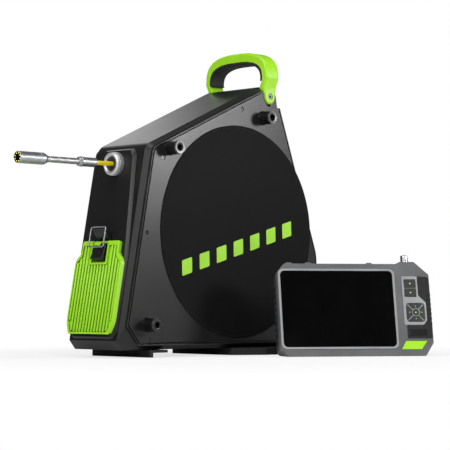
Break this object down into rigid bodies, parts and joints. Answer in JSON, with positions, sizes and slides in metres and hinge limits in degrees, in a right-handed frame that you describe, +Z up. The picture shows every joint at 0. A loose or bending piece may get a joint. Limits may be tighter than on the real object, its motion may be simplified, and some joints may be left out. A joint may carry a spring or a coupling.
{
  "type": "pipe inspection camera",
  "caption": "Push-rod pipe inspection camera: upright reel housing with drum, gland, camera head, battery cover and carry handle, with a separate screen handset.",
  "frame": {"origin": "bottom centre of the assembly's box without the rod and camera, on the ground", "axes": "+Z up, the push rod leaves the reel along -Y, the reel's covered side and the handset are towards +X"},
  "size_m": [0.356, 0.5279, 0.427],
  "materials": {
    "satin_black": "satin moulded plastic with a fine grain",
    "black_rubber": "matt moulded rubber",
    "lime_plastic": "satin lime moulded plastic",
    "grey_plastic": "satin grey moulded plastic",
    "stainless_steel": "turned stainless steel",
    "yellow_rod": "smooth glass-fibre rod sheath",
    "screen_glass": "gloss black cover glass",
    "circuit_board": "solder mask"
  },
  "bodies": {
    "housing": {"axle": "stainless_steel", "battery_pack": "grey_plastic", "cover_hinge_pin": "stainless_steel", "cover_screw_1": "stainless_steel", "cover_screw_2": "stainless_steel", "cover_screw_3": "stainless_steel", "cover_screw_4": "stainless_steel", "front_fascia": "satin_black", "front_foot": "black_rubber", "gland_body": "satin_black", "gland_seal": "black_rubber", "latch_catch": "satin_black", "left_cover": "satin_black", "left_disc": "satin_black", "main_shell": "satin_black", "pivot_screw_left": "stainless_steel", "pivot_screw_right": "stainless_steel", "post_lower_front": "satin_black", "post_lower_rear": "satin_black", "post_upper_front": "satin_black", "post_upper_rear": "satin_black", "rear_foot": "black_rubber", "right_cover": "satin_black", "right_disc": "satin_black", "slip_ring": "stainless_steel"},
    "rod_drum": {"rod_drum": "grey_plastic", "wound_rod": "yellow_rod", "bearing_left": "stainless_steel", "bearing_right": "stainless_steel"},
    "push_rod": {"push_rod": "yellow_rod", "push_rod_tail": "yellow_rod", "camera_collar": "stainless_steel", "camera_neck": "stainless_steel", "camera_head": "stainless_steel", "camera_window": "screen_glass"},
    "gland_nut": {"gland_nut": "stainless_steel"},
    "upper_roller": {"guide_roller_upper": "black_rubber"},
    "lower_roller": {"guide_roller_lower": "black_rubber"},
    "battery_cover": {"battery_cover": "lime_plastic"},
    "latch_lever": {"latch_lever": "satin_black"},
    "wire_bail": {"wire_bail": "stainless_steel"},
    "carry_handle": {"handle_shell": "lime_plastic", "handle_grip": "black_rubber"},
    "handset": {"handset_frame": "grey_plastic", "handset_rear_case": "black_rubber", "screen_glass": "screen_glass", "handset_board": "circuit_board", "handset_battery": "stainless_steel", "label_plate": "satin_black", "lime_tag": "lime_plastic", "cable_connector": "stainless_steel"},
    "stand": {"fold_out_stand": "satin_black"},
    "key_record": {"key_record": "black_rubber"},
    "key_menu": {"key_menu": "black_rubber"},
    "key_right": {"key_right": "black_rubber"},
    "key_up": {"key_up": "black_rubber"},
    "key_left": {"key_left": "black_rubber"},
    "key_down": {"key_down": "black_rubber"},
    "key_centre": {"key_centre": "black_rubber"},
    "power_key": {"power_key": "black_rubber"}
  },
  "joints": [
    {"name": "drum_spin", "type": "hinge", "parent": "housing", "child": "rod_drum", "pos_m": [-0.093, 0.01734, 0.1684], "axis": [1, 0, 0], "range_deg": [-12, 60]},
    {"name": "rod_feed", "type": "slide", "parent": "housing", "child": "push_rod", "axis": [0, -1, 0], "range_m": [-0.0185, 0.0911]},
    {"name": "upper_roller_spin", "type": "hinge", "parent": "housing", "child": "upper_roller", "pos_m": [-0.093, -0.09426, 0.2703], "axis": [1, 0, 0], "continuous": true},
    {"name": "lower_roller_spin", "type": "hinge", "parent": "housing", "child": "lower_roller", "pos_m": [-0.093, -0.09426, 0.2397], "axis": [1, 0, 0], "continuous": true},
    {"name": "gland_nut_turn", "type": "hinge", "parent": "housing", "child": "gland_nut", "pos_m": [-0.093, -0.15426, 0.255], "axis": [0, -1, 0], "continuous": true},
    {"name": "battery_cover_swing", "type": "hinge", "parent": "housing", "child": "battery_cover", "pos_m": [-0.093, -0.20219, 0.03242], "axis": [1, 0, 0], "range_deg": [0, 95]},
    {"name": "latch_lever_swing", "type": "hinge", "parent": "battery_cover", "child": "latch_lever", "pos_m": [-0.093, -0.18163, 0.14761], "axis": [-1, 0, 0], "range_deg": [0, 100]},
    {"name": "wire_bail_swing", "type": "hinge", "parent": "latch_lever", "child": "wire_bail", "pos_m": [-0.093, -0.19087, 0.14462], "axis": [-1, 0, 0], "range_deg": [-121, 0.5]},
    {"name": "handle_fold", "type": "hinge", "parent": "housing", "child": "carry_handle", "pos_m": [-0.093, 0.08324, 0.36], "axis": [-1, 0, 0], "range_deg": [0, 90]},
    {"name": "handset_lift", "type": "slide", "parent": "housing", "child": "handset", "axis": [0, 0, 1], "range_m": [0, 0.45]},
    {"name": "stand_fold", "type": "hinge", "parent": "handset", "child": "stand", "pos_m": [0.07458, 0.11661, 0.05423], "axis": [0.5476, 0.8368, 0], "range_deg": [0, 60]},
    {"name": "key_record_press", "type": "slide", "parent": "handset", "child": "key_record", "axis": [-0.8153, 0.5335, -0.225], "range_m": [0, 0.0006], "stiffness_N_per_m": 900},
    {"name": "key_menu_press", "type": "slide", "parent": "handset", "child": "key_menu", "axis": [-0.8153, 0.5335, -0.225], "range_m": [0, 0.0006], "stiffness_N_per_m": 900},
    {"name": "key_right_press", "type": "slide", "parent": "handset", "child": "key_right", "axis": [-0.8153, 0.5335, -0.225], "range_m": [0, 0.0006], "stiffness_N_per_m": 900},
    {"name": "key_up_press", "type": "slide", "parent": "handset", "child": "key_up", "axis": [-0.8153, 0.5335, -0.225], "range_m": [0, 0.0006], "stiffness_N_per_m": 900},
    {"name": "key_left_press", "type": "slide", "parent": "handset", "child": "key_left", "axis": [-0.8153, 0.5335, -0.225], "range_m": [0, 0.0006], "stiffness_N_per_m": 900},
    {"name": "key_down_press", "type": "slide", "parent": "handset", "child": "key_down", "axis": [-0.8153, 0.5335, -0.225], "range_m": [0, 0.0006], "stiffness_N_per_m": 900},
    {"name": "key_centre_press", "type": "slide", "parent": "handset", "child": "key_centre", "axis": [-0.8153, 0.5335, -0.225], "range_m": [0, 0.0006], "stiffness_N_per_m": 900},
    {"name": "power_key_press", "type": "slide", "parent": "handset", "child": "power_key", "axis": [0.1882, -0.1232, -0.9744], "range_m": [0, 0.0006], "stiffness_N_per_m": 900}
  ],
  "couplings": [
    {"joint": "rod_feed", "follows": "drum_spin", "m_per_rad": 0.086596},
    {"joint": "upper_roller_spin", "follows": "drum_spin", "ratio": -7.2163},
    {"joint": "lower_roller_spin", "follows": "drum_spin", "ratio": 7.2163},
    {"joint": "wire_bail_swing", "follows": "latch_lever_swing", "ratio": -1.2}
  ]
}
